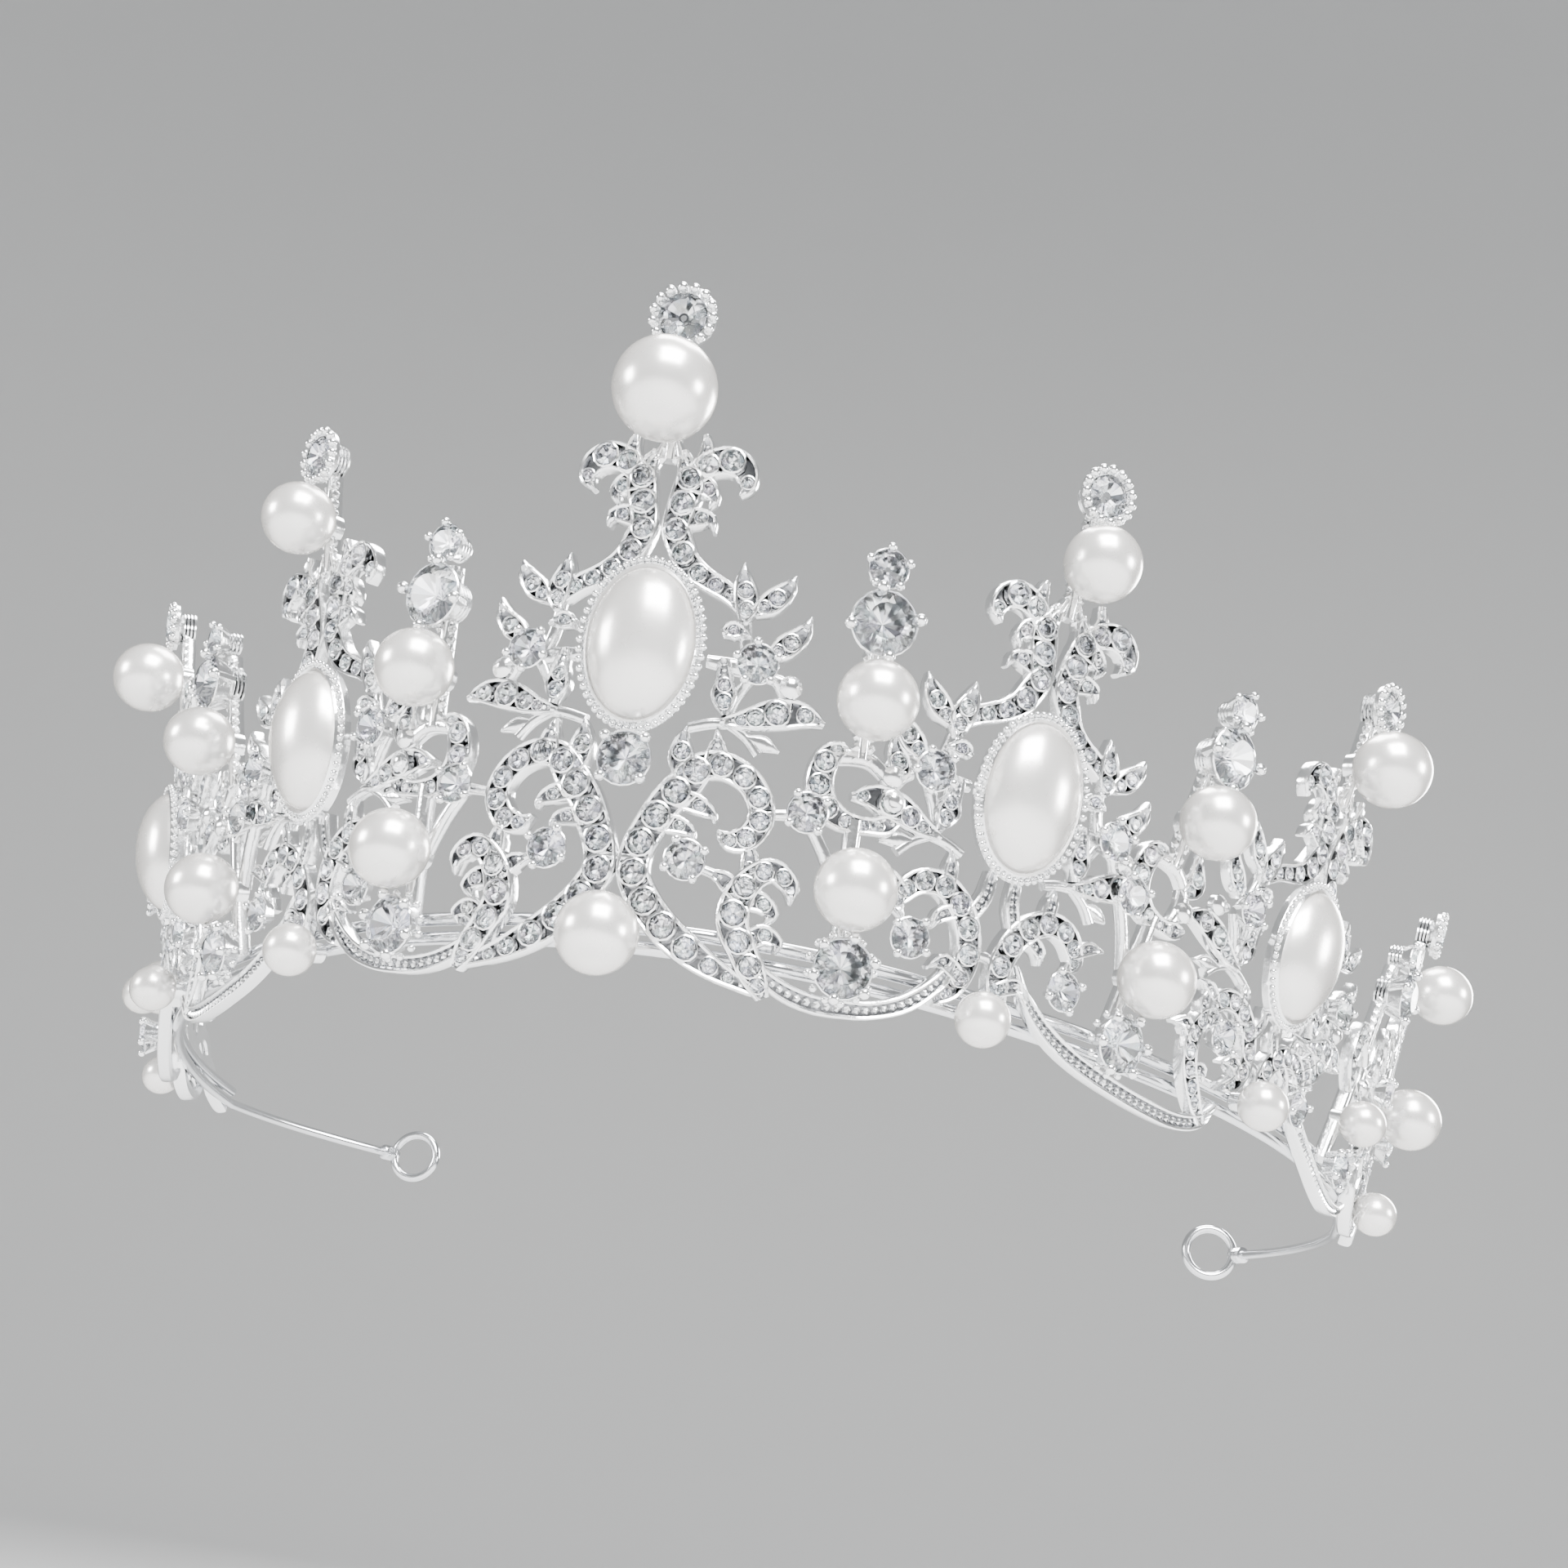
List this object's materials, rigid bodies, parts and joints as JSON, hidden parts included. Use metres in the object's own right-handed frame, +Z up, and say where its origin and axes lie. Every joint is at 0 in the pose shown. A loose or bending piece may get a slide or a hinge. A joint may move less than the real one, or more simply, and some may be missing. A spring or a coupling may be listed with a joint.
{
  "type": "bridal tiara",
  "caption": "Arched bridal tiara of filigree castings on a double wire, with round and oval pearls, cut stones and an eye loop at each end.",
  "frame": {"origin": "middle of the footprint (of the bounding box), on the plane that the lowest base pearl rests on", "axes": "+X along the width, to the right seen from the front; +Y from the front motif to the two open ends; +Z up"},
  "size_m": [0.194, 0.1716, 0.0702],
  "materials": {
    "plated_casting": "silver-plated zinc alloy, polished, fine-grained",
    "wire": "silver-plated round wire",
    "pearl": "pearl lustre coat",
    "crystal": "faceted, silver-foiled behind"
  },
  "bodies": {
    "root": {"centre_casting": "plated_casting", "inner_left_casting": "plated_casting", "inner_right_casting": "plated_casting", "outer_left_casting": "plated_casting", "outer_right_casting": "plated_casting", "end_left_casting": "plated_casting", "end_right_casting": "plated_casting", "inner_left_spike": "plated_casting", "inner_right_spike": "plated_casting", "outer_left_spike": "plated_casting", "outer_right_spike": "plated_casting", "end_left_spike": "plated_casting", "end_right_spike": "plated_casting", "centre_oval_bezel": "plated_casting", "inner_left_oval_bezel": "plated_casting", "inner_right_oval_bezel": "plated_casting", "outer_left_oval_bezel": "plated_casting", "outer_right_oval_bezel": "plated_casting", "centre_oval_pearl": "pearl", "inner_left_oval_pearl": "pearl", "inner_right_oval_pearl": "pearl", "outer_left_oval_pearl": "pearl", "outer_right_oval_pearl": "pearl", "centre_crest_pearl": "pearl", "inner_left_crest_pearl": "pearl", "inner_right_crest_pearl": "pearl", "outer_left_crest_pearl": "pearl", "outer_right_crest_pearl": "pearl", "end_left_crest_pearls": "pearl", "end_right_crest_pearls": "pearl", "inner_left_spike_pearls": "pearl", "inner_right_spike_pearls": "pearl", "outer_left_spike_pearls": "pearl", "outer_right_spike_pearls": "pearl", "end_left_spike_pearl": "pearl", "end_right_spike_pearl": "pearl", "base_pearls": "pearl", "pearl_pegs": "wire", "crest_cups": "plated_casting", "crest_stones": "crystal", "tip_cups": "plated_casting", "tip_stones": "crystal", "spike_cups": "plated_casting", "spike_stones": "crystal", "low_cups": "plated_casting", "low_stones": "crystal", "round_cups": "plated_casting", "round_stones": "crystal", "under_oval_cup": "plated_casting", "under_oval_stone": "crystal", "centre_channel_stones": "crystal", "side_channel_stones": "crystal", "upper_wire": "wire", "lower_wire": "wire", "left_end_loop": "wire", "right_end_loop": "wire"}
  },
  "joints": []
}
